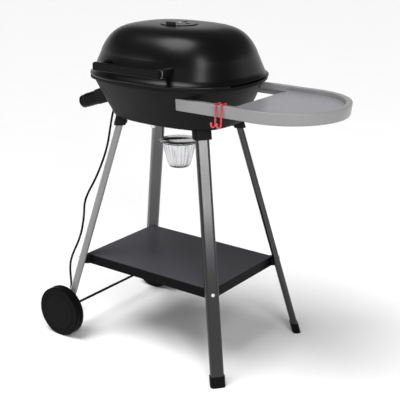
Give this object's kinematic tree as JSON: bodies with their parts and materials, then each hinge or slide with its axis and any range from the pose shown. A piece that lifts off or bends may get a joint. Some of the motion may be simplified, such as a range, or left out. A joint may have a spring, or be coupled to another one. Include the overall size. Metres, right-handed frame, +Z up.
{
  "type": "electric kettle grill on a trolley stand",
  "caption": "Oval kettle grill with a hinged lid on a splayed trolley stand, with wheels, lower shelf, half-round side table, tool hooks and a drip cup.",
  "frame": {"origin": "on the floor, at the middle of the outline without the mains lead", "axes": "+Z up, -Y the front with the lid handle, +X towards the side table, -X towards the wheels"},
  "size_m": [0.9534, 0.506, 0.9859],
  "materials": {
    "lid_paint": "satin black high-temperature coating over cast aluminium",
    "bowl_paint": "textured dark grey coating over cast aluminium",
    "bare_aluminium": "lightly brushed, unpainted",
    "black_plastic": "fine-grained moulded black plastic",
    "hub_plastic": "smooth moulded black plastic",
    "wheel_plastic": "moulded black wheel with a rubbery tread",
    "zinc_steel": "bright zinc plate",
    "black_steel": "black paint",
    "silver_paint": "silver-grey powder coat",
    "gloss_black_paint": "gloss black paint",
    "shelf_paint": "dark grey semi-gloss powder coat",
    "table_plastic": "silver-grey moulded plastic",
    "tray_plastic": "light grey moulded plastic, fine grain",
    "red_coated_wire": "glossy red dipped coating",
    "foil": "thin bright pressed foil with flutes",
    "grate_steel": "black enamel on steel",
    "element_steel": "heat-tinted stainless sheath",
    "lead_sheath": "black rubber-sheathed lead",
    "lamp_red": "red translucent lens"
  },
  "bodies": {
    "stand": {"bowl_hinge_brackets": "bowl_paint", "hinge_pins": "zinc_steel", "bowl_shell": "bowl_paint", "leg_sockets": "bowl_paint", "socket_screws": "black_steel", "heat_reflector": "bare_aluminium", "reflector_studs": "zinc_steel", "heating_element": "element_steel", "element_clips": "zinc_steel", "grate_supports": "bowl_paint", "drip_cup_holder": "black_steel", "cup_holder_screws": "zinc_steel", "control_shroud": "bowl_paint", "controller_housing": "black_plastic", "indicator_lamp": "lamp_red", "cord_strain_relief": "lead_sheath", "mains_cord": "lead_sheath", "cord_coil": "lead_sheath", "cord_tail": "lead_sheath", "mains_plug": "black_plastic", "leg_front_left": "silver_paint", "leg_rear_left": "silver_paint", "leg_front_right": "gloss_black_paint", "leg_rear_right": "gloss_black_paint", "foot_caps": "black_plastic", "leg_end_plugs": "black_plastic", "shelf": "shelf_paint", "shelf_screws": "zinc_steel", "axle": "black_steel", "axle_push_nuts": "zinc_steel", "table_frame": "table_plastic", "table_tray": "tray_plastic", "table_screws": "zinc_steel"},
    "lid": {"lid_shell": "lid_paint", "lid_handle_bar": "black_plastic", "lid_handle_brackets": "lid_paint", "handle_ferrules": "bare_aluminium", "handle_screws": "zinc_steel", "vent_rivet": "zinc_steel", "lid_hinge_leaves": "lid_paint"},
    "vent": {"vent_disc": "lid_paint"},
    "grate": {"cooking_grate": "grate_steel"},
    "cup": {"drip_cup": "foil"},
    "knob": {"temperature_knob": "black_plastic"},
    "front_wheel": {"wheel_front": "wheel_plastic", "hub_cap_front": "hub_plastic"},
    "rear_wheel": {"wheel_rear": "wheel_plastic", "hub_cap_rear": "hub_plastic"},
    "left_hook": {"tool_hook_left": "red_coated_wire"},
    "right_hook": {"tool_hook_right": "red_coated_wire"}
  },
  "joints": [
    {"name": "lid_hinge", "type": "hinge", "parent": "stand", "child": "lid", "pos_m": [-0.0895, 0.238, 0.836], "axis": [-1, 0, 0], "range_deg": [0, 85]},
    {"name": "vent_turn", "type": "hinge", "parent": "lid", "child": "vent", "pos_m": [-0.0895, 0, 0.977], "axis": [0, 0, 1], "range_deg": [0, 45]},
    {"name": "grate_lift", "type": "slide", "parent": "stand", "child": "grate", "axis": [0, 0, 1], "range_m": [0, 0.03]},
    {"name": "drip_cup_lift", "type": "slide", "parent": "stand", "child": "cup", "axis": [0, 0, 1], "range_m": [0, 0.035]},
    {"name": "knob_turn", "type": "hinge", "parent": "stand", "child": "knob", "pos_m": [-0.3025, -0.075, 0.757], "axis": [-0.9397, 0, -0.342], "range_deg": [0, 270]},
    {"name": "front_wheel_spin", "type": "hinge", "parent": "stand", "child": "front_wheel", "pos_m": [-0.3765, -0.237, 0.079], "axis": [0, 1, 0], "continuous": true},
    {"name": "rear_wheel_spin", "type": "hinge", "parent": "stand", "child": "rear_wheel", "pos_m": [-0.3765, 0.237, 0.079], "axis": [0, 1, 0], "continuous": true},
    {"name": "left_hook_slide", "type": "slide", "parent": "stand", "child": "left_hook", "axis": [1, 0, 0], "range_m": [-0.045, 0]},
    {"name": "right_hook_slide", "type": "slide", "parent": "stand", "child": "right_hook", "axis": [1, 0, 0], "range_m": [0, 0.08]}
  ]
}
